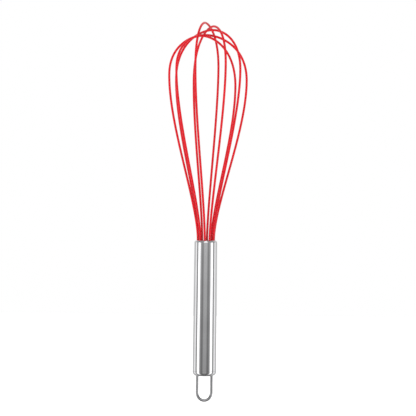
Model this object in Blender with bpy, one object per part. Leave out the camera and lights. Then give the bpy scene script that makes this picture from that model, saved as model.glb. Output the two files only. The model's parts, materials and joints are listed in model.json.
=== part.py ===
"""Balloon whisk: five sleeved wire loops set in a steel tube handle, with a hanging loop that swings.

Metres, +Z up, towards the crown of the balloon. The origin is on the handle's axis, halfway along
the grip. The hanging loop turns about X, on its two feet, just inside the end cap.
"""

import math
from dataclasses import dataclass

import bmesh
import bpy
from mathutils import Matrix, Vector

MM = 0.001

# Clearances
PIECE_GAP = 0.3 * MM  # between two pieces that touch
STRAND_FIT = 0.25 * MM  # round a sleeve or a wire in its hole
SLEEVE_FIT = 0.15 * MM  # between a wire and the bore of its sleeve
SWING_GAP = 0.3 * MM  # between a swinging leg and the end of its slot

# Handle tube
GRIP_LENGTH = 106.8 * MM  # mouth rim to butt
MOUTH_END_DIAMETER = 18.0 * MM
BUTT_END_DIAMETER = 18.8 * MM
TUBE_WALL = 0.8 * MM
LIP_DEPTH = 1.9 * MM  # how far down the side the rolled lip starts
LIP_WIDTH = 1.35 * MM  # how far it turns in
MOUTH_CLEARANCE = 0.35 * MM  # between the sleeves and the rolled lip

# Wires and their sleeves
LOOP_COUNT = 5
WIRE_DIAMETER = 0.9 * MM
SLEEVE_DIAMETER = 1.8 * MM
FIRST_HOLE_ANGLE = 10.0  # degrees from +X

# Balloon, measured up from the mouth rim to the middle of the wire
BELLY_RADIUS = 31.0 * MM
BELLY_HEIGHT = 131.0 * MM
BELLY_TWIST = -8.0  # degrees that the bellies lie round from their holes
CROWN_RISE = 40.5 * MM  # from the bellies up to the highest crown
CROWN_GAP = 0.95 * MM  # between each loop's sleeve and the next one down
THROAT_REACH = 29.0 * MM  # how long a strand keeps to its hole's line
BELLY_REACH = 41.0 * MM  # how long it runs straight up below its belly
SHOULDER_FULLNESS = 0.73  # share of the crown's rise that a strand keeps going up
CROWN_FULLNESS = 0.40  # share of its half width that a crown runs level

# Plugs inside the mouth
SEAL_THICKNESS = 4.0 * MM
SEAL_CROWN = 0.5 * MM  # how far its middle stands up
SLEEVE_TAIL = 2.0 * MM  # sleeve below the seal
HOLDER_LENGTH = 16.0 * MM
HOLDER_GROOVE_WIDTH = 2.0 * MM
HOLDER_GROOVE_DEPTH = 0.5 * MM
WIRE_TAIL = 2.5 * MM  # bare wire below the holder

# End cap
CAP_BEND = 3.2 * MM  # outside radius of its corner
CAP_FLOOR = 1.0 * MM
CAP_SKIRT_WALL = 0.9 * MM
CAP_SIDE = 0.6 * MM  # straight side between the corner and the seam
SKIRT_LENGTH = 5.0 * MM  # of the skirt above the seam

# Hanging loop
HANGER_WIRE = 2.3 * MM
HANGER_SIDE_GAP = 0.6 * MM  # between its legs and the inside of the end cap
HANGER_LEG = 12.7 * MM  # straight leg below the butt
HANGER_BOW = 6.8 * MM  # from the legs' ends down to the middle of the bow
HANGER_BEND = 1.7 * MM  # radius of the middle of the wire at each foot
FOOT_GAP = 2.3 * MM  # between the ends of its two feet
BOW_SIDE_FULLNESS = 0.60
BOW_END_FULLNESS = 0.60
SWING_ANGLE = 30.0  # degrees each way

# Loop retainer
RETAINER_PLATE = 2.5 * MM

# Fineness of the curved surfaces
TURN_STEPS = 36
CORNER_STEPS = 4
HOLE_STEPS = 12
STRAND_STEPS = 10  # along each quarter of a loop
STRAND_ROUNDNESS = 2  # bevel resolution
HANGER_STEPS = 8
HANGER_ROUNDNESS = 3

# Worked out from the sizes above
MOUTH_Z = GRIP_LENGTH / 2
BUTT_Z = -GRIP_LENGTH / 2
MOUTH_RADIUS = MOUTH_END_DIAMETER / 2 - LIP_WIDTH
HOLE_CIRCLE_RADIUS = MOUTH_RADIUS - MOUTH_CLEARANCE - SLEEVE_DIAMETER / 2
CROWN_HEIGHT = BELLY_HEIGHT + CROWN_RISE
CROWN_STEP = SLEEVE_DIAMETER + CROWN_GAP
SEAM_Z = BUTT_Z + CAP_BEND + CAP_SIDE
SEAL_TOP = -LIP_DEPTH - PIECE_GAP - SEAL_CROWN
SEAL_BOTTOM = SEAL_TOP - SEAL_THICKNESS
SLEEVE_END = SEAL_BOTTOM - SLEEVE_TAIL
HOLDER_TOP = SLEEVE_END - PIECE_GAP
HOLDER_BOTTOM = HOLDER_TOP - HOLDER_LENGTH
WIRE_END = HOLDER_BOTTOM - WIRE_TAIL
CAP_SKIRT_RADIUS = BUTT_END_DIAMETER / 2 - TUBE_WALL - PIECE_GAP
CAP_INSIDE = CAP_SKIRT_RADIUS - CAP_SKIRT_WALL
CAP_INNER_BEND = CAP_BEND - CAP_FLOOR
HANGER_HALF_WIDTH = CAP_INSIDE - HANGER_SIDE_GAP - HANGER_WIRE / 2  # to the middle of each leg
PIVOT_Z = BUTT_Z + CAP_FLOOR + PIECE_GAP + HANGER_WIRE / 2


@dataclass(frozen=True)
class LoopBend:
    """How one hand-bent loop departs from the even balloon. Each pair is its right and left strand."""

    hole: int  # which of the ten holes its right foot is in, counted from FIRST_HOLE_ANGLE
    turn: tuple[float, float]  # degrees round from the even place of the belly
    swell: tuple[float, float]  # out from BELLY_RADIUS
    rise: tuple[float, float]  # up from BELLY_HEIGHT
    shift: tuple[float, float]  # of the crown off the axis, along X and Y
    lift: float  # of the crown off its even place in the nest


# From the highest crown to the lowest
LOOP_BENDS = (
    LoopBend(2, (0, -2), (0, 0), (7 * MM, 5 * MM), (-2.0 * MM, -1.5 * MM), 0),
    LoopBend(-2, (6, 1), (0.5 * MM, 0.5 * MM), (5.5 * MM, -3 * MM), (3.5 * MM, -1.5 * MM), 0),
    LoopBend(-1, (-2.5, -2.5), (0.5 * MM, 0.5 * MM), (2 * MM, -2 * MM), (2.5 * MM, -0.5 * MM), 0),
    LoopBend(0, (9, -12), (0.5 * MM, 0), (-4.5 * MM, 0.5 * MM), (-2.0 * MM, 4.0 * MM), -0.75 * MM),
    LoopBend(1, (7, 0), (0.5 * MM, 0), (-8 * MM, 3.5 * MM), (-4.0 * MM, -4.0 * MM), 0.5 * MM),
)


def clear_scene() -> None:
    """Removes every object of the startup scene."""
    for obj in list(bpy.data.objects):
        bpy.data.objects.remove(obj)


def finish(name: str, colour: tuple[float, float, float], metallic: float, roughness: float):
    """Makes a plain material of one colour."""
    material = bpy.data.materials.new(name)
    material.use_nodes = True
    shader = material.node_tree.nodes["Principled BSDF"]
    shader.inputs["Base Color"].default_value = (*colour, 1.0)
    shader.inputs["Metallic"].default_value = metallic
    shader.inputs["Roughness"].default_value = roughness
    return material


def place(obj, material, parent=None) -> None:
    """Gives an object its material and its parent, and links it to the scene."""
    obj.data.materials.append(material)
    obj.parent = parent
    bpy.context.scene.collection.objects.link(obj)


def empty(name: str, z: float):
    """Makes an empty on the handle's axis."""
    obj = bpy.data.objects.new(name, None)
    obj.location.z = z
    bpy.context.scene.collection.objects.link(obj)
    return obj


def mesh_object(name: str, bm):
    """Turns a bmesh into an object whose round sides are shaded smooth."""
    mesh = bpy.data.meshes.new(name)
    bm.to_mesh(mesh)
    bm.free()
    mesh.shade_smooth()
    mesh.set_sharp_from_angle(angle=math.radians(35))
    return bpy.data.objects.new(name, mesh)


def turned(name: str, profile: list[tuple[float, float]], steps: int = TURN_STEPS):
    """Turns a closed outline of (radius, height) points about Z into one solid."""
    bm = bmesh.new()
    points = [bm.verts.new((radius, 0, height)) for radius, height in profile]
    ends_on_axis = profile[0][0] == 0 and profile[-1][0] == 0
    edges = [bm.edges.new(pair) for pair in zip(points, points[1:])]
    if not ends_on_axis:
        edges.append(bm.edges.new((points[-1], points[0])))
    bmesh.ops.spin(
        bm,
        geom=points + edges,
        axis=(0, 0, 1),
        cent=(0, 0, 0),
        angle=math.tau,
        steps=steps,
        use_merge=True,
    )
    bmesh.ops.remove_doubles(bm, verts=bm.verts, dist=0.001 * MM)
    bmesh.ops.recalc_face_normals(bm, faces=bm.faces)
    return mesh_object(name, bm)


def corner(centre: tuple[float, float], across: float, up: float, start: float, end: float):
    """Points of a quarter of an ellipse in an outline, from one angle to another, in degrees."""
    points = []
    for step in range(CORNER_STEPS + 1):
        angle = math.radians(start + (end - start) * step / CORNER_STEPS)
        points.append((centre[0] + across * math.cos(angle), centre[1] + up * math.sin(angle)))
    return points


def ring_of_pins(name: str, radius: float, low: float, high: float):
    """Makes a cutter of ten upright pins, one for each strand's hole."""
    bm = bmesh.new()
    for hole in range(2 * LOOP_COUNT):
        angle = hole_angle(hole)
        middle = Vector((math.cos(angle), math.sin(angle), 0)) * HOLE_CIRCLE_RADIUS
        middle.z = (low + high) / 2
        bmesh.ops.create_cone(
            bm,
            cap_ends=True,
            segments=HOLE_STEPS,
            radius1=radius,
            radius2=radius,
            depth=high - low,
            matrix=Matrix.Translation(middle),
        )
    return mesh_object(name, bm)


def block(name: str, size: tuple[float, float, float], middle: tuple[float, float, float]):
    """Makes a box of a size about a middle."""
    bm = bmesh.new()
    bmesh.ops.create_cube(bm, size=1.0, matrix=Matrix.Translation(middle) @ Matrix.Diagonal((*size, 1)))
    return mesh_object(name, bm)


def slot_pins(name: str, width: float, length: float, low: float, high: float):
    """Makes a cutter for two slots with round ends, long along Y, one for each leg."""
    bm = bmesh.new()
    stretch = (length - width) / 2
    for side in (1, -1):
        made = bmesh.ops.create_cone(
            bm,
            cap_ends=True,
            segments=HOLE_STEPS,
            radius1=width / 2,
            radius2=width / 2,
            depth=high - low,
            matrix=Matrix.Rotation(math.pi / HOLE_STEPS, 4, "Z"),
        )
        for vert in made["verts"]:
            vert.co.y += math.copysign(stretch, vert.co.y)
        bmesh.ops.translate(bm, verts=made["verts"], vec=(side * HANGER_HALF_WIDTH, 0, (low + high) / 2))
    return mesh_object(name, bm)


def combine(obj, other, operation: str) -> None:
    """Adds a live Boolean of another object, which is kept as a hidden helper."""
    other.hide_render = True
    other.display_type = "WIRE"
    bpy.context.scene.collection.objects.link(other)
    other.parent = obj.parent
    modifier = obj.modifiers.new(other.name, "BOOLEAN")
    modifier.operation = operation
    modifier.solver = "EXACT"
    modifier.object = other


def hole_angle(hole: int) -> float:
    """Angle of a strand's hole round the axis, in radians."""
    return math.radians(FIRST_HOLE_ANGLE + 180 / LOOP_COUNT * hole)


def bezier(name: str, anchors: list[tuple], steps: int, roundness: int, diameter: float, capped: bool):
    """Makes a round wire along a Bezier curve.

    Each anchor is a point with the handles before and after it, and a handle of None makes that side
    of the point straight.
    """
    data = bpy.data.curves.new(name, "CURVE")
    data.dimensions = "3D"
    data.resolution_u = steps
    data.bevel_depth = diameter / 2
    data.bevel_resolution = roundness
    data.use_fill_caps = capped
    spline = data.splines.new("BEZIER")
    spline.bezier_points.add(len(anchors) - 1)
    for point, (where, before, after) in zip(spline.bezier_points, anchors):
        point.co = where
        point.handle_left_type = "VECTOR" if before is None else "FREE"
        point.handle_right_type = "VECTOR" if after is None else "FREE"
        if before is not None:
            point.handle_left = before
        if after is not None:
            point.handle_right = after
    return bpy.data.objects.new(name, data)


def loop_anchors(bend: LoopBend, place_in_nest: int, foot_z: float) -> list[tuple]:
    """Anchors of one balloon loop, from its right foot over the crown to its left foot."""
    up = Vector((0, 0, 1))
    crown_z = CROWN_HEIGHT - CROWN_STEP * place_in_nest + bend.lift
    crown = Vector((*bend.shift, crown_z))
    hole = hole_angle(bend.hole)
    even = hole + math.radians(BELLY_TWIST)
    facing = even + math.radians(sum(bend.turn) / 2)
    level = Vector((math.cos(facing), math.sin(facing), 0))
    halves = []
    for index, side in enumerate((1, -1)):
        foot = Vector((math.cos(hole), math.sin(hole), 0)) * HOLE_CIRCLE_RADIUS * side
        angle = even + math.radians(bend.turn[index])
        belly = Vector((math.cos(angle), math.sin(angle), 0)) * (BELLY_RADIUS + bend.swell[index]) * side
        belly.z = BELLY_HEIGHT + bend.rise[index]
        shoulder = belly + up * (crown_z - belly.z) * SHOULDER_FULLNESS
        half_width = (belly - crown).to_2d().length
        halves.append(
            {
                "foot": (foot + up * foot_z, None, None),
                "mouth": (foot, None, foot + up * THROAT_REACH),
                "belly": (belly, belly - up * BELLY_REACH, shoulder),
                "crown": crown + level * side * half_width * CROWN_FULLNESS,
            }
        )
    right, left = halves
    back = [(where, after, before) for where, before, after in (left["belly"], left["mouth"], left["foot"])]
    return [
        right["foot"],
        right["mouth"],
        right["belly"],
        (crown, right["crown"], left["crown"]),
        *back,
    ]


def add_balloon(parent, steel, silicone) -> None:
    """Adds the five wires and the sleeve on each."""
    sleeve_wall = (SLEEVE_DIAMETER - WIRE_DIAMETER) / 2 - SLEEVE_FIT
    for index, bend in enumerate(LOOP_BENDS):
        number = index + 1
        route = loop_anchors(bend, index, WIRE_END)
        wire = bezier(f"steel_wire_{number}", route, STRAND_STEPS, 1, WIRE_DIAMETER, True)
        place(wire, steel, parent)
        route = loop_anchors(bend, index, SLEEVE_END)
        sleeve = bezier(
            f"silicone_sleeve_{number}", route, STRAND_STEPS, STRAND_ROUNDNESS, SLEEVE_DIAMETER, False
        )
        wall = sleeve.modifiers.new("wall", "SOLIDIFY")
        wall.thickness = sleeve_wall
        wall.offset = -1
        wall.use_even_offset = True
        place(sleeve, silicone, parent)


def add_tube(steel) -> None:
    """Adds the handle tube, with its lip rolled in at the mouth."""
    lip_z = MOUTH_Z - LIP_DEPTH
    bore = MOUTH_END_DIAMETER / 2 - TUBE_WALL
    outline = corner((MOUTH_RADIUS, lip_z), LIP_WIDTH, LIP_DEPTH, 90, 0)
    outline.append((BUTT_END_DIAMETER / 2, SEAM_Z))
    outline.append((BUTT_END_DIAMETER / 2 - TUBE_WALL, SEAM_Z))
    outline += corner((MOUTH_RADIUS, lip_z), bore - MOUTH_RADIUS, LIP_DEPTH - TUBE_WALL, 0, 90)
    place(turned("handle_tube", outline), steel)


def add_mouth_plugs(parent, resin, nylon) -> None:
    """Adds the seal round the sleeves and the holder that the bare wires are fixed in."""
    radius = MOUTH_END_DIAMETER / 2 - TUBE_WALL - PIECE_GAP
    inner = HOLE_CIRCLE_RADIUS - SLEEVE_DIAMETER
    seal = turned(
        "mouth_seal",
        [(0, SEAL_BOTTOM), (radius, SEAL_BOTTOM), (radius, SEAL_TOP), (inner, SEAL_TOP), (0, SEAL_TOP + SEAL_CROWN)],
    )
    place(seal, resin, parent)
    margin = 2 * MM
    pins = ring_of_pins("seal_holes", SLEEVE_DIAMETER / 2 + STRAND_FIT, SEAL_BOTTOM - margin, SEAL_TOP + margin)
    combine(seal, pins, "DIFFERENCE")

    outline = [(0, HOLDER_BOTTOM), (radius, HOLDER_BOTTOM)]
    for share in (1 / 3, 2 / 3):
        middle = HOLDER_BOTTOM + HOLDER_LENGTH * share
        low = middle - HOLDER_GROOVE_WIDTH / 2
        high = middle + HOLDER_GROOVE_WIDTH / 2
        root = radius - HOLDER_GROOVE_DEPTH
        outline += [(radius, low), (root, low), (root, high), (radius, high)]
    outline += [(radius, HOLDER_TOP), (0, HOLDER_TOP)]
    holder = turned("wire_holder", outline)
    place(holder, nylon, parent)
    pins = ring_of_pins("wire_holes", WIRE_DIAMETER / 2 + STRAND_FIT, HOLDER_BOTTOM - margin, HOLDER_TOP + margin)
    combine(holder, pins, "DIFFERENCE")


def add_end_cap(steel) -> None:
    """Adds the cap that closes the butt, with a slot for each leg of the hanging loop."""
    side = BUTT_END_DIAMETER / 2
    floor_z = BUTT_Z + CAP_FLOOR
    skirt_top = SEAM_Z + SKIRT_LENGTH
    ledge_z = SEAM_Z - PIECE_GAP
    inner_centre = (CAP_INSIDE - CAP_INNER_BEND, floor_z + CAP_INNER_BEND)
    outline = [(0, BUTT_Z)]
    outline += corner((side - CAP_BEND, BUTT_Z + CAP_BEND), CAP_BEND, CAP_BEND, -90, 0)
    outline += [(side, ledge_z), (CAP_SKIRT_RADIUS, ledge_z), (CAP_SKIRT_RADIUS, skirt_top)]
    outline.append((CAP_INSIDE, skirt_top))
    outline += corner(inner_centre, CAP_INNER_BEND, CAP_INNER_BEND, 0, -90)
    outline.append((0, floor_z))
    cap = turned("end_cap", outline)
    place(cap, steel)

    swing = math.radians(SWING_ANGLE)
    reach = (PIVOT_Z - BUTT_Z) * math.tan(swing) + HANGER_WIRE / 2 / math.cos(swing)
    length = 2 * (reach + SWING_GAP)
    width = HANGER_WIRE + 2 * SWING_GAP
    combine(cap, slot_pins("leg_slots", width, length, BUTT_Z - CAP_FLOOR, PIVOT_Z), "DIFFERENCE")


def add_hanging_loop(pivot, steel) -> None:
    """Adds the wire loop that the whisk hangs by, about its pivot on the line of its two feet."""
    half = HANGER_HALF_WIDTH
    leg_end = BUTT_Z - HANGER_LEG - PIVOT_Z
    bow_z = leg_end - HANGER_BOW
    ease = 0.5523 * HANGER_BEND  # handle length that makes a quarter circle
    route = []
    for side in (1, -1):
        bend_in = Vector((side * (half - HANGER_BEND), 0, 0))
        bend_out = Vector((side * half, 0, -HANGER_BEND))
        leg = Vector((side * half, 0, leg_end))
        leg_down = leg - Vector((0, 0, HANGER_BOW * BOW_SIDE_FULLNESS))
        half_route = [
            (Vector((side * FOOT_GAP / 2, 0, 0)), None, None),
            (bend_in, None, bend_in + Vector((side * ease, 0, 0))),
            (bend_out, bend_out + Vector((0, 0, ease)), None),
            (leg, None, leg_down),
        ]
        if side == 1:
            bow = Vector((0, 0, bow_z))
            along = Vector((half * BOW_END_FULLNESS, 0, 0))
            route = half_route + [(bow, bow + along, bow - along)]
        else:
            route += [(where, after, before) for where, before, after in reversed(half_route)]
    place(bezier("hanging_loop", route, HANGER_STEPS, HANGER_ROUNDNESS, HANGER_WIRE, True), steel, pivot)


def add_retainer(nylon) -> None:
    """Adds the moulding that keeps the loop's feet down on the end cap's floor."""
    radius = CAP_INSIDE - PIECE_GAP
    plate_z = PIVOT_Z + HANGER_WIRE / 2 + SWING_GAP
    plate = [(0, plate_z), (radius, plate_z), (radius, plate_z + RETAINER_PLATE), (0, plate_z + RETAINER_PLATE)]
    retainer = turned("loop_retainer", plate)
    place(retainer, nylon)

    saddle_half = HANGER_HALF_WIDTH - HANGER_BEND - SWING_GAP
    saddle_depth = 2 * math.sqrt((CAP_INSIDE - CAP_INNER_BEND) ** 2 - saddle_half**2)
    low = BUTT_Z + CAP_FLOOR + PIECE_GAP
    high = plate_z + RETAINER_PLATE / 2
    size = (2 * saddle_half, saddle_depth, high - low)
    saddle = block("retainer_saddle", size, (0, 0, (low + high) / 2))
    combine(retainer, saddle, "UNION")
    size = (4 * saddle_half, HANGER_WIRE + 2 * SWING_GAP, plate_z - BUTT_Z)
    groove = block("retainer_groove", size, (0, 0, (plate_z + BUTT_Z) / 2))
    combine(retainer, groove, "DIFFERENCE")


def main() -> None:
    """Builds the whisk."""
    clear_scene()
    polished = finish("polished_steel", (0.62, 0.62, 0.63), 1.0, 0.22)
    wire_steel = finish("spring_steel", (0.55, 0.55, 0.56), 1.0, 0.30)
    silicone = finish("red_silicone", (0.70, 0.012, 0.018), 0.0, 0.42)
    resin = finish("seal_resin", (0.36, 0.36, 0.37), 0.0, 0.45)
    nylon = finish("nylon", (0.70, 0.68, 0.62), 0.0, 0.50)

    mouth = empty("mouth", MOUTH_Z)
    pivot = empty("hanging_loop_pivot", PIVOT_Z)
    add_tube(polished)
    add_mouth_plugs(mouth, resin, nylon)
    add_balloon(mouth, wire_steel, silicone)
    add_end_cap(polished)
    add_retainer(nylon)
    add_hanging_loop(pivot, polished)


main()
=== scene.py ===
"""Looks of the balloon whisk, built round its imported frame.

Metres, +Z towards the crown of the balloon, with the origin on the handle's axis halfway along the
grip. The handle and the balloon are one body, and the hanging loop swings on its feet as another.
"""

import json
import logging
import math
from dataclasses import dataclass
from enum import Enum
from itertools import accumulate

import bmesh
import bpy
from mathutils import Matrix, Vector
from mathutils.geometry import interpolate_bezier


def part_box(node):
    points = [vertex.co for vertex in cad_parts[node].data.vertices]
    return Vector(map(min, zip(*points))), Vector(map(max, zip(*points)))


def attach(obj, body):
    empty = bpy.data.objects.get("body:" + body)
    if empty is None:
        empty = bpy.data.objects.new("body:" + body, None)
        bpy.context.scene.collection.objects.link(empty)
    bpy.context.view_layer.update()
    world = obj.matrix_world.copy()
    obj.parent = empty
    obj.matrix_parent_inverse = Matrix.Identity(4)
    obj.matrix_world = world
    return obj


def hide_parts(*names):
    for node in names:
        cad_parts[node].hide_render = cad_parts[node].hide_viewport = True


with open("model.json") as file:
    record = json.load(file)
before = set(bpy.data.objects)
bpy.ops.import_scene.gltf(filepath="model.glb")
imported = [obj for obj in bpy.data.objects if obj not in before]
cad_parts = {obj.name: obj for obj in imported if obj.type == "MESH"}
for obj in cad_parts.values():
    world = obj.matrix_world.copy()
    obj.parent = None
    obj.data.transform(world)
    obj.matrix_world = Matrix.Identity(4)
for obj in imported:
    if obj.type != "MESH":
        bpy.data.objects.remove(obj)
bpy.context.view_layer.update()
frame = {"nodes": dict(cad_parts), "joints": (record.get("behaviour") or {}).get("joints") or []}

MM = 0.001
UP = Vector((0, 0, 1))
QUARTER_CIRCLE = 0.5523  # handle length that makes a Bezier quarter circle of radius 1
SHARP_ANGLE = 40.0  # degrees between two faces above which their edge shows
MERGE_DISTANCE = 0.001 * MM  # between corners that are one corner
NOISE_LOW, NOISE_HIGH = 0.3, 0.7  # where a noise counts as low and as high
log = logging.getLogger("whisk")


class Body(Enum):
    """The bodies that pieces ride on."""

    HANDLE = "handle"
    HANGER = "hanger"


class Slot(Enum):
    """The material slots of the record."""

    POLISHED_STEEL = "polished_steel"
    SPRING_STEEL = "spring_steel"
    RED_SILICONE = "red_silicone"
    SEAL_RESIN = "seal_resin"
    NYLON = "nylon"


# Finishes


class NodeSheet:
    """A material's node tree, with short calls that add its nodes and join them."""

    def __init__(self, name: str) -> None:
        """Starts a material of a name, with its Principled shader."""
        self.material = bpy.data.materials.new(name)
        self.material.use_nodes = True
        self.tree = self.material.node_tree
        self.shader = self.tree.nodes["Principled BSDF"]

    def node(self, kind: str, settings: dict | None = None, **inputs):
        """Adds a node.

        Args:
            kind: its type, without the ShaderNode at the front.
            settings: its properties by name.
            inputs: its input values by name, with _ for a space.

        Returns:
            The new node.
        """
        made = self.tree.nodes.new("ShaderNode" + kind)
        for key, value in (settings or {}).items():
            setattr(made, key, value)
        for key, value in inputs.items():
            made.inputs[key.replace("_", " ")].default_value = value
        return made

    def join(self, source, target) -> None:
        """Links an output socket to an input socket."""
        self.tree.links.new(source, target)

    def object_place(self, scale: tuple[float, float, float] = (1, 1, 1)):
        """Gives the surface point in metres from the origin, stretched by a scale.

        Args:
            scale: how many times finer a pattern gets along each axis.

        Returns:
            The output socket with the point.
        """
        place = self.node("TexCoord")
        stretch = self.node("Mapping", Scale=scale)
        self.join(place.outputs["Object"], stretch.inputs["Vector"])
        return stretch.outputs["Vector"]

    def route_place(self, scale: tuple[float, float, float]):
        """Gives the place round and along a wire, in metres, stretched by a scale.

        Args:
            scale: how many times finer a pattern gets round the wire, along it and across.

        Returns:
            The output socket with the place.
        """
        place = self.node("UVMap", {"uv_map": Sweep.UV_NAME})
        stretch = self.node("Mapping", Scale=scale)
        self.join(place.outputs["UV"], stretch.inputs["Vector"])
        return stretch.outputs["Vector"]

    def noise(self, place, size: float, detail: float = 3.0):
        """Adds a cloudy noise.

        Args:
            place: the output socket with the point it reads.
            size: the width of one cloud, in metres of that point.
            detail: how many finer noises are laid over it.

        Returns:
            The output socket with the noise, 0 to 1.
        """
        made = self.node("TexNoise", Scale=1 / size, Detail=detail)
        self.join(place, made.inputs["Vector"])
        return made.outputs["Fac"]

    def spread(self, value, low: float, high: float, start: float = NOISE_LOW, end: float = NOISE_HIGH):
        """Maps a noise to a range.

        Args:
            value: the output socket with the noise.
            low: the result where the noise is at start.
            high: the result where it is at end.
            start: the noise that gives low.
            end: the noise that gives high.

        Returns:
            The output socket with the result.
        """
        made = self.node("MapRange")
        for name, number in (("From Min", start), ("From Max", end), ("To Min", low), ("To Max", high)):
            made.inputs[name].default_value = number
        self.join(value, made.inputs["Value"])
        return made.outputs["Result"]

    def two_colours(self, value, first: tuple[float, float, float], second: tuple[float, float, float]):
        """Mixes two colours by a noise.

        Args:
            value: the output socket with the noise.
            first: the colour where the noise is low.
            second: the colour where it is high.

        Returns:
            The output socket with the colour.
        """
        ramp = self.node("ValToRGB")
        ramp.color_ramp.elements[0].position = NOISE_LOW
        ramp.color_ramp.elements[0].color = (*first, 1)
        ramp.color_ramp.elements[1].position = NOISE_HIGH
        ramp.color_ramp.elements[1].color = (*second, 1)
        self.join(value, ramp.inputs["Fac"])
        return ramp.outputs["Color"]

    def bump(self, height, depth: float, strength: float = 1.0, under=None):
        """Adds a bump.

        Args:
            height: the output socket with the height, 0 to 1.
            depth: how deep the bump is, in metres.
            strength: how much of it shows.
            under: the output socket of the bump that it lies on.

        Returns:
            The output socket with the normal.
        """
        made = self.node("Bump", Strength=strength, Distance=depth)
        self.join(height, made.inputs["Height"])
        if under is not None:
            self.join(under, made.inputs["Normal"])
        return made.outputs["Normal"]

    def set(self, **inputs: float) -> None:
        """Sets constant values on the shader's own sockets."""
        for key, value in inputs.items():
            self.shader.inputs[key.replace("_", " ")].default_value = value


@dataclass(frozen=True)
class SatinSilicone:
    """Moulded silicone rubber with a satin skin."""

    name: str
    colour: tuple[float, float, float]
    deep_colour: tuple[float, float, float]
    roughness: float
    tone_size: float = 11 * MM
    skin_grain: float = 0.25 * MM
    skin_depth: float = 0.004 * MM
    skin_share: float = 0.6
    wave_size: float = 1.6 * MM
    wave_depth: float = 0.012 * MM
    wave_share: float = 0.3
    refraction: float = 1.41
    shine: float = 0.36

    def material(self):
        """Makes the material and returns it."""
        sheet = NodeSheet(self.name)
        place = sheet.object_place()
        tone = sheet.noise(place, self.tone_size)
        sheet.join(sheet.two_colours(tone, self.deep_colour, self.colour), sheet.shader.inputs["Base Color"])
        grain = sheet.noise(place, self.skin_grain, 4.0)
        rough = sheet.spread(grain, self.roughness - 0.05, self.roughness + 0.06)
        sheet.join(rough, sheet.shader.inputs["Roughness"])
        waves = sheet.bump(sheet.noise(place, self.wave_size, 2.0), self.wave_depth, self.wave_share)
        skin = sheet.bump(grain, self.skin_depth, self.skin_share, waves)
        sheet.join(skin, sheet.shader.inputs["Normal"])
        sheet.set(IOR=self.refraction, Specular_IOR_Level=self.shine)
        return sheet.material


@dataclass(frozen=True)
class PolishedSteel:
    """Stainless steel polished lengthwise, which leaves fine lines along the handle."""

    name: str
    colour: tuple[float, float, float]
    worn_colour: tuple[float, float, float]
    roughness: float
    line_width: float = 0.16 * MM
    line_stretch: float = 0.006
    line_depth: float = 0.0005 * MM
    line_share: float = 0.5
    smudge_size: float = 14 * MM
    smudge_haze: float = 0.035

    def material(self):
        """Makes the material and returns it."""
        sheet = NodeSheet(self.name)
        lines = sheet.noise(sheet.object_place((1, 1, self.line_stretch)), self.line_width, 4.0)
        smudge = sheet.noise(sheet.object_place(), self.smudge_size, 5.0)
        tint = sheet.two_colours(smudge, self.worn_colour, self.colour)
        sheet.join(tint, sheet.shader.inputs["Base Color"])
        fine = sheet.spread(lines, self.roughness - 0.02, self.roughness + 0.03)
        haze = sheet.spread(smudge, 0.0, self.smudge_haze)
        total = sheet.node("Math", {"operation": "ADD"})
        sheet.join(fine, total.inputs[0])
        sheet.join(haze, total.inputs[1])
        sheet.join(total.outputs["Value"], sheet.shader.inputs["Roughness"])
        sheet.join(sheet.bump(lines, self.line_depth, self.line_share), sheet.shader.inputs["Normal"])
        sheet.set(Metallic=1.0)
        return sheet.material


@dataclass(frozen=True)
class DrawnWire:
    """Steel wire pulled through a die, which leaves fine lines along it."""

    name: str
    colour: tuple[float, float, float]
    worn_colour: tuple[float, float, float]
    roughness: float
    line_width: float = 0.10 * MM
    line_stretch: float = 0.02
    line_depth: float = 0.0015 * MM
    line_share: float = 0.5
    stain_size: float = 4 * MM

    def material(self):
        """Makes the material and returns it."""
        sheet = NodeSheet(self.name)
        lines = sheet.noise(sheet.route_place((1, self.line_stretch, 1)), self.line_width, 4.0)
        stain = sheet.noise(sheet.object_place(), self.stain_size, 5.0)
        tint = sheet.two_colours(stain, self.worn_colour, self.colour)
        sheet.join(tint, sheet.shader.inputs["Base Color"])
        rough = sheet.spread(lines, self.roughness - 0.03, self.roughness + 0.05)
        sheet.join(rough, sheet.shader.inputs["Roughness"])
        sheet.join(sheet.bump(lines, self.line_depth, self.line_share), sheet.shader.inputs["Normal"])
        sheet.set(Metallic=1.0)
        return sheet.material


@dataclass(frozen=True)
class MouldedPlastic:
    """Cast resin or moulded nylon with a fine grain."""

    name: str
    colour: tuple[float, float, float]
    deep_colour: tuple[float, float, float]
    roughness: float
    tone_size: float = 3 * MM
    grain: float = 0.3 * MM
    depth: float = 0.01 * MM
    grain_share: float = 0.6
    refraction: float = 1.5

    def material(self):
        """Makes the material and returns it."""
        sheet = NodeSheet(self.name)
        place = sheet.object_place()
        tone = sheet.noise(place, self.tone_size, 5.0)
        sheet.join(sheet.two_colours(tone, self.deep_colour, self.colour), sheet.shader.inputs["Base Color"])
        grain = sheet.noise(place, self.grain, 4.0)
        rough = sheet.spread(grain, self.roughness - 0.06, self.roughness + 0.08)
        sheet.join(rough, sheet.shader.inputs["Roughness"])
        sheet.join(sheet.bump(grain, self.depth, self.grain_share), sheet.shader.inputs["Normal"])
        sheet.set(IOR=self.refraction)
        return sheet.material


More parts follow.
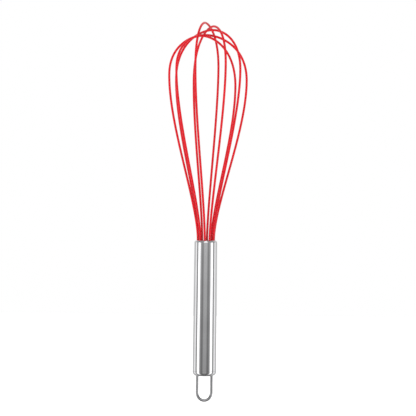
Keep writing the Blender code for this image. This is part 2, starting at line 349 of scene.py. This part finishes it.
RED_SILICONE = SatinSilicone("satin_red_silicone", (0.67, 0.007, 0.017), (0.59, 0.005, 0.012), 0.19)
GRIP_STEEL = PolishedSteel("polished_grip_steel", (0.64, 0.64, 0.65), (0.58, 0.58, 0.59), 0.07)
HANGER_STEEL = DrawnWire("bright_hanger_wire", (0.45, 0.45, 0.46), (0.37, 0.37, 0.38), 0.08)
SPRING_STEEL = DrawnWire("drawn_spring_wire", (0.56, 0.56, 0.57), (0.46, 0.46, 0.47), 0.28)
SEAL_RESIN = MouldedPlastic("cured_seal_resin", (0.36, 0.36, 0.37), (0.29, 0.29, 0.30), 0.42)
NYLON = MouldedPlastic("moulded_nylon", (0.70, 0.68, 0.62), (0.62, 0.60, 0.54), 0.50)


# Making pieces


@dataclass(frozen=True)
class Anchor:
    """A point of a wire's route with its two handles. A handle of None makes that side straight."""

    where: Vector
    before: Vector | None = None
    after: Vector | None = None

    def turned_back(self) -> "Anchor":
        """Returns the anchor of the same route run the other way."""
        return Anchor(self.where, self.after, self.before)


@dataclass(frozen=True)
class Sweep:
    """A round section carried along a route of anchors."""

    anchors: tuple[Anchor, ...]
    step: float  # longest step along a curve
    sides: int

    UV_NAME = "route"

    def stations(self) -> list[Vector]:
        """Returns points along the route, a step or less apart on its curves."""
        points = [self.anchors[0].where]
        for first, second in zip(self.anchors, self.anchors[1:]):
            if first.after is None:
                points.append(second.where)
                continue
            count = math.ceil((second.where - first.where).length / self.step)
            points += interpolate_bezier(first.where, first.after, second.before, second.where, count + 1)[1:]
        return points

    def frames(self) -> list[Matrix]:
        """Returns the place and turn of the section at each station, without any twist."""
        points = self.stations()
        frames = []
        turn = (points[1] - points[0]).to_track_quat("Z", "Y")
        for behind, point, ahead in zip([points[0], *points], points, [*points[1:], points[-1]]):
            arriving, leaving = (point - behind).normalized(), (ahead - point).normalized()
            turn = (turn @ UP).rotation_difference(arriving + leaving) @ turn
            frames.append(Matrix.Translation(point) @ turn.to_matrix().to_4x4())
        return frames

    def skin(self, radius: float):
        """Bends a straight tube along the route, with a UV map round and along it in metres.

        Args:
            radius: the tube's radius.

        Returns:
            A new bmesh with the tube, which is open at both ends.
        """
        bm = bmesh.new()
        frames = self.frames()
        last = len(frames) - 1
        middle = Matrix.Translation((0, 0, last / 2))
        bmesh.ops.create_cone(
            bm, segments=self.sides, radius1=radius, radius2=radius, depth=last, matrix=middle
        )
        upright = [edge for edge in bm.edges if abs(edge.verts[0].co.z - edge.verts[1].co.z) > 0.5]
        bmesh.ops.subdivide_edges(bm, edges=upright, cuts=last - 1, use_grid_fill=True)
        steps = [(second.translation - first.translation).length for first, second in zip(frames, frames[1:])]
        lengths = [0.0, *accumulate(steps)]
        layer = bm.loops.layers.uv.new(self.UV_NAME)
        for face in bm.faces:
            turns = [math.atan2(loop.vert.co.y, loop.vert.co.x) / math.tau % 1 for loop in face.loops]
            wraps = max(turns) - min(turns) > 0.5
            for loop, turn in zip(face.loops, turns):
                around = turn + 1 if wraps and turn < 0.5 else turn
                loop[layer].uv = (around * math.tau * radius, lengths[round(loop.vert.co.z)])
        for vert in bm.verts:
            vert.co = frames[round(vert.co.z)] @ Vector((vert.co.x, vert.co.y, 0))
        return bm

    def rims(self, bm) -> tuple[list, list]:
        """Returns the open edges of a bmesh at the start and at the end of the route."""
        first, last = self.anchors[0].where, self.anchors[-1].where
        rims = ([], [])
        for edge in bm.edges:
            if edge.is_boundary:
                where = edge.verts[0].co
                rims[(where - last).length < (where - first).length].append(edge)
        return rims

    def rod(self, radius: float):
        """Returns a new bmesh with a solid rod of a radius along the route."""
        bm = self.skin(radius)
        for rim in self.rims(bm):
            bmesh.ops.contextual_create(bm, geom=rim)
        bmesh.ops.recalc_face_normals(bm, faces=bm.faces)
        return bm

    def tube(self, radius: float, bore: float):
        """Returns a new bmesh with a tube of an outer and an inner radius along the route."""
        bm = self.skin(radius)
        inside = self.skin(bore)
        mesh = bpy.data.meshes.new("bore")
        inside.to_mesh(mesh)
        inside.free()
        bm.from_mesh(mesh)
        bpy.data.meshes.remove(mesh)
        for rim in self.rims(bm):
            bmesh.ops.bridge_loops(bm, edges=rim)
        bmesh.ops.recalc_face_normals(bm, faces=bm.faces)
        return bm


class PieceMaker:
    """Turns finished bmeshes into pieces that ride on the frame."""

    def add(self, bm, name: str, body: Body, slot: Slot, material, nodes: tuple[str, ...]):
        """Makes a piece and gives it its body and the nodes it stands for.

        Args:
            bm: the finished mesh, which is used up.
            name: the piece's name.
            body: the body it rides on.
            slot: the record's slot for its finish; it is not used.
            material: its material.
            nodes: the CAD nodes that it replaces.

        Returns:
            The new object.
        """
        mesh = bpy.data.meshes.new(name)
        bm.to_mesh(mesh)
        bm.free()
        mesh.shade_smooth()
        mesh.set_sharp_from_angle(angle=math.radians(SHARP_ANGLE))
        mesh.materials.append(material)
        piece = bpy.data.objects.new(name, mesh)
        bpy.context.scene.collection.objects.link(piece)
        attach(piece, body.value)
        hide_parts(*nodes)
        faces = len(mesh.polygons)
        log.info("%s: %d faces, rides on %s, stands for %s", name, faces, body.value, ", ".join(nodes))
        return piece


def turned(bm, profile: list[tuple[float, float]], steps: int) -> None:
    """Turns an outline of (radius, height) points about Z into a closed skin.

    Args:
        bm: the bmesh that it is made in.
        profile: the outline, which closes on itself unless it starts and ends on the axis.
        steps: how many sides the skin has.
    """
    points = [bm.verts.new((radius, 0, height)) for radius, height in profile]
    edges = [bm.edges.new(pair) for pair in zip(points, points[1:])]
    if profile[0][0] > 0 or profile[-1][0] > 0:
        edges.append(bm.edges.new((points[-1], points[0])))
    bmesh.ops.spin(
        bm, geom=points + edges, axis=UP, cent=(0, 0, 0), angle=math.tau, steps=steps, use_merge=True
    )
    bmesh.ops.remove_doubles(bm, verts=bm.verts, dist=MERGE_DISTANCE)
    bmesh.ops.recalc_face_normals(bm, faces=bm.faces)


def cut(bm, cutter) -> None:
    """Takes a shape out of a bmesh.

    Args:
        bm: the bmesh that is cut.
        cutter: the bmesh of the shape, which is used up.
    """
    shapes = []
    for shape in (bm, cutter):
        mesh = bpy.data.meshes.new("cut")
        shape.to_mesh(mesh)
        made = bpy.data.objects.new("cut", mesh)
        bpy.context.scene.collection.objects.link(made)
        shapes.append(made)
    cutter.free()
    whole, tool = shapes
    change = whole.modifiers.new("cut", "BOOLEAN")
    change.object = tool
    change.solver = "EXACT"
    result = bpy.data.meshes.new_from_object(whole.evaluated_get(bpy.context.evaluated_depsgraph_get()))
    bm.clear()
    bm.from_mesh(result)
    for mesh in (result, whole.data, tool.data):
        bpy.data.meshes.remove(mesh)


def arc(centre: tuple[float, float], across: float, up: float, start: float, end: float, steps: int):
    """Points of a part of an ellipse in an outline.

    Args:
        centre: its middle, as (radius, height).
        across: its half width.
        up: its half height.
        start: the angle it starts at, in degrees from the radius' direction.
        end: the angle it ends at.
        steps: how many straight pieces it has.

    Returns:
        The points, as (radius, height).
    """
    angles = [math.radians(start + (end - start) * step / steps) for step in range(steps + 1)]
    return [(centre[0] + across * math.cos(angle), centre[1] + up * math.sin(angle)) for angle in angles]


# Sub-assemblies


@dataclass(frozen=True)
class LoopBend:
    """How one loop departs from the even balloon.

    Each pair is its right and left strand, but for shift, which is its crown's along X and Y. The
    values that Balloon.bends gives, but for hole, were found by a numerical search and not chosen by
    hand.
    """

    hole: int  # which of the ten holes its right foot is in
    turn: tuple[float, float]  # degrees
    swell: tuple[float, float]
    rise: tuple[float, float]
    shift: tuple[float, float]
    lift: float


@dataclass(frozen=True)
class Balloon:
    """The five sleeved wire loops. Heights are up from the mouth rim."""

    mouth_z: float
    sleeve_low: float
    wire_low: float
    loops: int = 5
    wire_diameter: float = 0.9 * MM
    sleeve_diameter: float = 1.8 * MM
    bore_diameter: float = 1.0 * MM
    first_hole: float = 10.0  # degrees from +X
    hole_circle: float = 6.4 * MM
    belly_radius: float = 31.0 * MM
    belly_height: float = 131.0 * MM
    belly_twist: float = -8.0  # degrees
    crown_height: float = 171.5 * MM
    crown_step: float = 2.75 * MM
    throat_reach: float = 29.0 * MM
    belly_reach: float = 41.0 * MM
    shoulder_fullness: float = 0.73
    crown_fullness: float = 0.40
    step: float = 1.2 * MM
    sides: int = 24

    def bends(self) -> tuple[LoopBend, ...]:
        """Returns the loops from the highest crown to the lowest."""
        return (
            LoopBend(2, (0, -2), (0, 0), (7 * MM, 5 * MM), (-2.0 * MM, -1.5 * MM), 0),
            LoopBend(-2, (6, 1), (0.5 * MM, 0.5 * MM), (5.5 * MM, -3 * MM), (3.5 * MM, -1.5 * MM), 0),
            LoopBend(-1, (-2.5, -2.5), (0.5 * MM, 0.5 * MM), (2 * MM, -2 * MM), (2.5 * MM, -0.5 * MM), 0),
            LoopBend(0, (9, -12), (0.5 * MM, 0), (-4.5 * MM, 0.5 * MM), (-2.0 * MM, 4.0 * MM), -0.75 * MM),
            LoopBend(1, (7, 0), (0.5 * MM, 0), (-8 * MM, 3.5 * MM), (-4.0 * MM, -4.0 * MM), 0.5 * MM),
        )

    def route(self, bend: LoopBend, place_in_nest: int, low: float) -> tuple[Anchor, ...]:
        """Works out a loop's route from its right foot over the crown to its left foot.

        Args:
            bend: the loop's own departures.
            place_in_nest: how many loops cross above it.
            low: the height of its two ends.

        Returns:
            The anchors of the route.
        """
        mouth = Vector((0, 0, self.mouth_z))
        crown_height = self.crown_height - self.crown_step * place_in_nest + bend.lift
        crown = mouth + Vector((*bend.shift, crown_height))
        hole = math.radians(self.first_hole + 180 / self.loops * bend.hole)
        even = hole + math.radians(self.belly_twist)
        facing = even + math.radians(sum(bend.turn) / 2)
        level = Vector((math.cos(facing), math.sin(facing), 0))
        halves = []
        crown_handles = []
        for index, side in enumerate((1, -1)):
            foot = mouth + Vector((math.cos(hole), math.sin(hole), 0)) * self.hole_circle * side
            angle = even + math.radians(bend.turn[index])
            out = (self.belly_radius + bend.swell[index]) * side
            height = self.belly_height + bend.rise[index]
            belly = mouth + Vector((math.cos(angle) * out, math.sin(angle) * out, height))
            rise = UP * (crown_height - height) * self.shoulder_fullness
            half_width = (belly - crown).to_2d().length
            crown_handles.append(crown + level * side * half_width * self.crown_fullness)
            halves.append(
                [
                    Anchor(Vector((foot.x, foot.y, low))),
                    Anchor(foot, None, foot + UP * self.throat_reach),
                    Anchor(belly, belly - UP * self.belly_reach, belly + rise),
                ]
            )
        right, left = halves
        top = Anchor(crown, *crown_handles)
        return (*right, top, *(anchor.turned_back() for anchor in reversed(left)))

    def build(self, maker: PieceMaker) -> None:
        """Builds the wires and their sleeves."""
        silicone = RED_SILICONE.material()
        steel = SPRING_STEEL.material()
        for index, bend in enumerate(self.bends()):
            number = index + 1
            route = Sweep(self.route(bend, index, self.sleeve_low), self.step, self.sides)
            sleeve = route.tube(self.sleeve_diameter / 2, self.bore_diameter / 2)
            maker.add(
                sleeve,
                f"red_sleeve_{number}",
                Body.HANDLE,
                Slot.RED_SILICONE,
                silicone,
                (f"silicone_sleeve_{number}",),
            )
            route = Sweep(self.route(bend, index, self.wire_low), self.step, self.sides // 2)
            wire = route.rod(self.wire_diameter / 2)
            maker.add(
                wire,
                f"spring_wire_{number}",
                Body.HANDLE,
                Slot.SPRING_STEEL,
                steel,
                (f"steel_wire_{number}",),
            )


@dataclass(frozen=True)
class Handle:
    """The steel tube with its rolled lip, and the cap welded into its butt."""

    mouth_z: float
    butt_z: float
    mouth_diameter: float = 18.0 * MM
    butt_diameter: float = 18.8 * MM
    wall: float = 0.8 * MM
    lip_depth: float = 1.9 * MM
    lip_width: float = 1.35 * MM
    cap_bend: float = 3.2 * MM
    cap_side: float = 0.6 * MM
    cap_floor: float = 1.0 * MM
    skirt_length: float = 5.0 * MM
    skirt_wall: float = 0.9 * MM
    skirt_gap: float = 0.05 * MM
    seam_width: float = 0.04 * MM
    seam_edge: float = 0.08 * MM
    cap_rest: float = 0.1 * MM
    slot_middle: float = 5.65 * MM
    slot_width: float = 2.9 * MM
    slot_length: float = 6.08 * MM
    slot_cut: float = 4.0 * MM  # height of the shape that cuts the slots
    straight_start: float = 0.25 * MM  # rows this far inside the straight side keep its shading straight
    steps: int = 144
    bend_steps: int = 14
    edge_steps: int = 3
    slot_steps: int = 48

    @property
    def seam_z(self) -> float:
        """Height of the seam between the tube and the cap."""
        return self.butt_z + self.cap_bend + self.cap_side

    def radius_at(self, z: float) -> float:
        """Outside radius of the tapered tube at a height."""
        lip_z = self.mouth_z - self.lip_depth
        share = (lip_z - z) / (lip_z - self.seam_z)
        return (self.mouth_diameter + (self.butt_diameter - self.mouth_diameter) * share) / 2

    def tube(self):
        """Makes the tube and returns its bmesh."""
        bm = bmesh.new()
        lip_z = self.mouth_z - self.lip_depth
        mouth_radius = self.mouth_diameter / 2 - self.lip_width
        bore = self.mouth_diameter / 2 - self.wall
        low_radius = self.butt_diameter / 2
        outline = arc((mouth_radius, lip_z), self.lip_width, self.lip_depth, 90, 0, self.bend_steps)
        edge = (low_radius - self.seam_edge, self.seam_z + self.seam_edge)
        straight = (lip_z - self.straight_start, edge[1] + self.straight_start)
        outline += [(self.radius_at(z), z) for z in straight]
        outline += arc(edge, self.seam_edge, self.seam_edge, 0, -90, self.edge_steps)
        outline.append((low_radius - self.wall, self.seam_z))
        inner_bend = (bore - mouth_radius, self.lip_depth - self.wall)
        outline += arc((mouth_radius, lip_z), *inner_bend, 0, 90, self.bend_steps)
        turned(bm, outline, self.steps)
        return bm

    def cap(self):
        """Makes the cap and returns its bmesh."""
        bm = bmesh.new()
        side = self.butt_diameter / 2
        skirt = side - self.wall - self.skirt_gap
        inside = skirt - self.skirt_wall
        top = self.seam_z - self.seam_width
        skirt_top = self.seam_z + self.skirt_length
        corner = (side - self.cap_bend, self.butt_z + self.cap_bend)
        edge = (side - self.seam_edge, top - self.seam_edge)
        outline = [(0, self.butt_z), (side - self.cap_bend - self.straight_start, self.butt_z)]
        outline += arc(corner, self.cap_bend, self.cap_bend, -90, 0, self.bend_steps)
        outline += [(side, self.butt_z + self.cap_bend + self.cap_rest)]
        outline += [(side, top - self.seam_edge - self.cap_rest)]
        outline += arc(edge, self.seam_edge, self.seam_edge, 0, 90, self.edge_steps)
        outline += [(skirt, top), (skirt, skirt_top), (inside, skirt_top)]
        bend = self.cap_bend - self.cap_floor
        inner_corner = (inside - bend, self.butt_z + self.cap_floor + bend)
        outline += arc(inner_corner, bend, bend, 0, -90, self.bend_steps // 2)
        outline.append((0, self.butt_z + self.cap_floor))
        turned(bm, outline, self.steps)
        return bm

    def slot_cutter(self):
        """Makes the shape of the two slots that the loop's legs swing in, and returns its bmesh."""
        bm = bmesh.new()
        stretch = (self.slot_length - self.slot_width) / 2
        for side in (1, -1):
            pin = bmesh.ops.create_cone(
                bm,
                cap_ends=True,
                segments=self.slot_steps,
                radius1=self.slot_width / 2,
                radius2=self.slot_width / 2,
                depth=self.slot_cut,
                matrix=Matrix.Rotation(math.pi / self.slot_steps, 4, "Z"),
            )["verts"]
            for vert in pin:
                vert.co.y += math.copysign(stretch, vert.co.y)
            bmesh.ops.translate(bm, verts=pin, vec=(side * self.slot_middle, 0, self.butt_z))
        return bm

    def build(self, maker: PieceMaker) -> None:
        """Builds the tube and the cap."""
        steel = GRIP_STEEL.material()
        maker.add(self.tube(), "grip_tube", Body.HANDLE, Slot.POLISHED_STEEL, steel, ("handle_tube",))
        cap = self.cap()
        cut(cap, self.slot_cutter())
        maker.add(cap, "butt_cap", Body.HANDLE, Slot.POLISHED_STEEL, steel, ("end_cap",))


@dataclass(frozen=True)
class Hanger:
    """The wire loop that the whisk hangs by. Its feet turn in under the retainer."""

    pivot_z: float
    butt_z: float
    wire: float = 2.3 * MM
    half_width: float = 5.65 * MM
    leg: float = 12.7 * MM
    bow: float = 6.8 * MM
    bend: float = 1.7 * MM
    foot_gap: float = 2.3 * MM
    side_fullness: float = 0.60
    end_fullness: float = 0.60
    step: float = 0.35 * MM
    sides: int = 32

    def route(self) -> tuple[Anchor, ...]:
        """Returns the anchors of the wire from its right foot round the bow to its left foot."""
        ease = QUARTER_CIRCLE * self.bend
        leg_z = self.butt_z - self.leg
        halves = []
        for side in (1, -1):
            foot = Vector((side * self.foot_gap / 2, 0, self.pivot_z))
            bend_in = Vector((side * (self.half_width - self.bend), 0, self.pivot_z))
            bend_out = Vector((side * self.half_width, 0, self.pivot_z - self.bend))
            leg = Vector((side * self.half_width, 0, leg_z))
            halves.append(
                [
                    Anchor(foot),
                    Anchor(bend_in, None, bend_in + Vector((side * ease, 0, 0))),
                    Anchor(bend_out, bend_out + UP * ease),
                    Anchor(leg, None, leg - UP * self.bow * self.side_fullness),
                ]
            )
        right, left = halves
        low = Vector((0, 0, leg_z - self.bow))
        along = Vector((self.half_width * self.end_fullness, 0, 0))
        bottom = Anchor(low, low + along, low - along)
        return (*right, bottom, *(anchor.turned_back() for anchor in reversed(left)))

    def build(self, maker: PieceMaker) -> None:
        """Builds the loop."""
        loop = Sweep(self.route(), self.step, self.sides).rod(self.wire / 2)
        maker.add(
            loop, "hanging_wire", Body.HANGER, Slot.POLISHED_STEEL, HANGER_STEEL.material(), ("hanging_loop",)
        )


# Studio


@dataclass(frozen=True)
class Studio:
    """A pale floor, a soft light dome and the camera."""

    camera_distance: float = 1.300
    camera_height: float = 0.0790
    camera_aside: float = 0.0014
    camera_roll: float = 0.66  # degrees, as are the three angles of the key light
    lens: float = 142.5
    sensor: float = 36.0
    key_strength: float = 1.15
    key_softness: float = 40.0
    key_height: float = 50.0
    key_aside: float = -15.0
    floor_z: float = -0.40
    floor_glow: float = 0.5
    floor_size: float = 12.0

    def camera(self) -> None:
        """Makes the camera, level and looking along +Y."""
        data = bpy.data.cameras.new("camera")
        data.lens = self.lens
        data.sensor_width = self.sensor
        camera = bpy.data.objects.new("camera", data)
        bpy.context.scene.collection.objects.link(camera)
        place = Matrix.Translation((self.camera_aside, -self.camera_distance, self.camera_height))
        level = Matrix.Rotation(math.radians(90), 4, "X")
        camera.matrix_world = place @ level @ Matrix.Rotation(math.radians(self.camera_roll), 4, "Z")
        bpy.context.scene.camera = camera

    def floor(self) -> None:
        """Makes the floor, which mirrors don't see."""
        bm = bmesh.new()
        bmesh.ops.create_grid(bm, x_segments=1, y_segments=1, size=self.floor_size / 2)
        bmesh.ops.translate(bm, verts=bm.verts, vec=(0, 0, self.floor_z))
        mesh = bpy.data.meshes.new("floor")
        bm.to_mesh(mesh)
        bm.free()
        sheet = NodeSheet("pale_floor")
        sheet.set(Roughness=0.9, Emission_Strength=self.floor_glow)
        for socket in ("Base Color", "Emission Color"):
            sheet.shader.inputs[socket].default_value = (0.9, 0.9, 0.9, 1)
        mesh.materials.append(sheet.material)
        floor = bpy.data.objects.new("floor", mesh)
        floor.visible_glossy = False
        bpy.context.scene.collection.objects.link(floor)

    def dome(self) -> None:
        """Makes the light dome: a grey front, a bright band either side, and paler bands behind."""
        world = bpy.data.worlds.new("light_dome")
        world.use_nodes = True
        tree = world.node_tree
        nodes, links = tree.nodes, tree.links
        background = nodes["Background"]
        place = nodes.new("ShaderNodeTexCoord")
        parts = nodes.new("ShaderNodeSeparateXYZ")
        links.new(place.outputs["Generated"], parts.inputs["Vector"])

        def math_node(operation: str, *values):
            """Adds a Math node whose inputs are sockets or numbers, and returns its output."""
            made = nodes.new("ShaderNodeMath")
            made.operation = operation
            for index, value in enumerate(values):
                if isinstance(value, (int, float)):
                    made.inputs[index].default_value = value
                else:
                    links.new(value, made.inputs[index])
            return made.outputs["Value"]

        def ramp_node(value, stops: list[tuple[float, float]]):
            """Adds a grey ramp of (place, brightness) stops, and returns its output."""
            made = nodes.new("ShaderNodeFloatCurve")
            curve = made.mapping.curves[0]
            made.mapping.use_clip = False
            for where, level in stops[1:-1]:
                curve.points.new(where, level)
            curve.points[0].location = stops[0]
            curve.points[-1].location = stops[-1]
            for point in curve.points:
                point.handle_type = "VECTOR"
            made.mapping.update()
            links.new(value, made.inputs["Value"])
            return made.outputs["Value"]

        x, y, z = (parts.outputs[axis] for axis in "XYZ")
        aside = math_node("ABSOLUTE", math_node("ARCTAN2", x, math_node("MULTIPLY", y, -1)))
        aside = math_node("DIVIDE", aside, math.pi)
        height = math_node("DIVIDE", math_node("ARCSINE", z), math.pi)
        height = math_node("ADD", height, 0.5)
        around = ramp_node(aside, DOME_AROUND)
        front = ramp_node(height, DOME_FRONT_UP)
        side = ramp_node(height, DOME_SIDE_UP)
        share = ramp_node(aside, DOME_FRONT_SHARE)
        mixed = nodes.new("ShaderNodeMix")
        links.new(share, mixed.inputs["Factor"])
        links.new(side, mixed.inputs["A"])
        links.new(front, mixed.inputs["B"])
        level = math_node("MULTIPLY", around, mixed.outputs["Result"])
        above = nodes.new("ShaderNodeMix")
        links.new(ramp_node(height, DOME_TOP_SHARE), above.inputs["Factor"])
        links.new(level, above.inputs["A"])
        links.new(ramp_node(aside, DOME_TOP_AROUND), above.inputs["B"])
        brightness = above.outputs["Result"]
        seen = nodes.new("ShaderNodeLightPath")
        final = nodes.new("ShaderNodeMix")
        links.new(seen.outputs["Is Camera Ray"], final.inputs["Factor"])
        links.new(brightness, final.inputs["A"])
        final.inputs["B"].default_value = 1.0
        links.new(final.outputs["Result"], background.inputs["Strength"])
        background.inputs["Color"].default_value = (1, 1, 1, 1)
        bpy.context.scene.world = world

    def key(self) -> None:
        """Makes the soft key light, high in front, which mirrors don't see."""
        data = bpy.data.lights.new("key", "SUN")
        data.energy = self.key_strength
        data.angle = math.radians(self.key_softness)
        key = bpy.data.objects.new("key", data)
        key.rotation_euler = (math.radians(90 - self.key_height), 0, math.radians(self.key_aside))
        key.visible_glossy = False
        bpy.context.scene.collection.objects.link(key)

    def build(self) -> None:
        """Builds the studio, with colours shown as they are."""
        self.camera()
        self.floor()
        self.dome()
        self.key()
        bpy.context.scene.view_settings.view_transform = "Standard"
        log.info("studio: camera, floor and light dome")


# Brightness of the dome. Places run from 0, in front, to 1, behind, and from 0, below, to 1, above.
DOME_AROUND = [
    (0.0, 0.52),
    (0.08, 0.50),
    (0.13, 0.27),
    (0.18, 0.27),
    (0.22, 0.36),
    (0.26, 0.50),
    (0.295, 0.95),
    (0.33, 2.4),
    (0.40, 2.4),
    (0.438, 1.0),
    (0.466, 0.36),
    (0.514, 0.36),
    (0.55, 1.1),
    (0.59, 1.45),
    (0.63, 1.35),
    (0.68, 0.80),
    (0.74, 0.72),
    (0.82, 0.76),
    (1.0, 0.95),
]
DOME_FRONT_UP = [
    (0.0, 0.36),
    (0.20, 0.40),
    (0.29, 0.80),
    (0.4675, 0.88),
    (0.480, 0.98),
    (0.490, 1.22),
    (0.494, 1.40),
    (0.50, 1.5),
    (1.0, 1.5),
]
DOME_SIDE_UP = [(0.0, 0.22), (0.20, 0.45), (0.34, 0.9), (0.44, 1.0), (1.0, 1.0)]
DOME_FRONT_SHARE = [(0.0, 1.0), (0.24, 1.0), (0.30, 0.0), (1.0, 0.0)]
DOME_TOP_AROUND = [(0.0, 1.5), (0.09, 1.5), (0.14, 0.40), (0.60, 0.40), (0.72, 0.95), (1.0, 0.95)]
DOME_TOP_SHARE = [(0.0, 0.0), (0.55, 0.0), (0.58, 1.0), (1.0, 1.0)]


def dress_inner_nodes() -> None:
    """Gives the CAD nodes that stay their finishes."""
    for node, finish in (("loop_retainer", NYLON), ("wire_holder", NYLON), ("mouth_seal", SEAL_RESIN)):
        mesh = frame["nodes"][node].data
        mesh.materials.clear()
        mesh.materials.append(finish.material())
        log.info("%s keeps its shape and gets %s", node, finish.name)


def main() -> None:
    """Builds the looks round the frame."""
    logging.basicConfig(level=logging.INFO, format="%(name)s: %(message)s")
    tube_low, tube_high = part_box("handle_tube")
    cap_low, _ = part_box("end_cap")
    wire_low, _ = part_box("steel_wire_1")
    sleeve_low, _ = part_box("silicone_sleeve_1")
    maker = PieceMaker()
    Balloon(tube_high.z, sleeve_low.z, wire_low.z).build(maker)
    Handle(tube_high.z, cap_low.z).build(maker)
    pivot_z = frame["joints"][0]["pos_m"][2]
    Hanger(pivot_z, cap_low.z).build(maker)
    dress_inner_nodes()
    Studio().build()


if __name__ == "__main__":
    main()
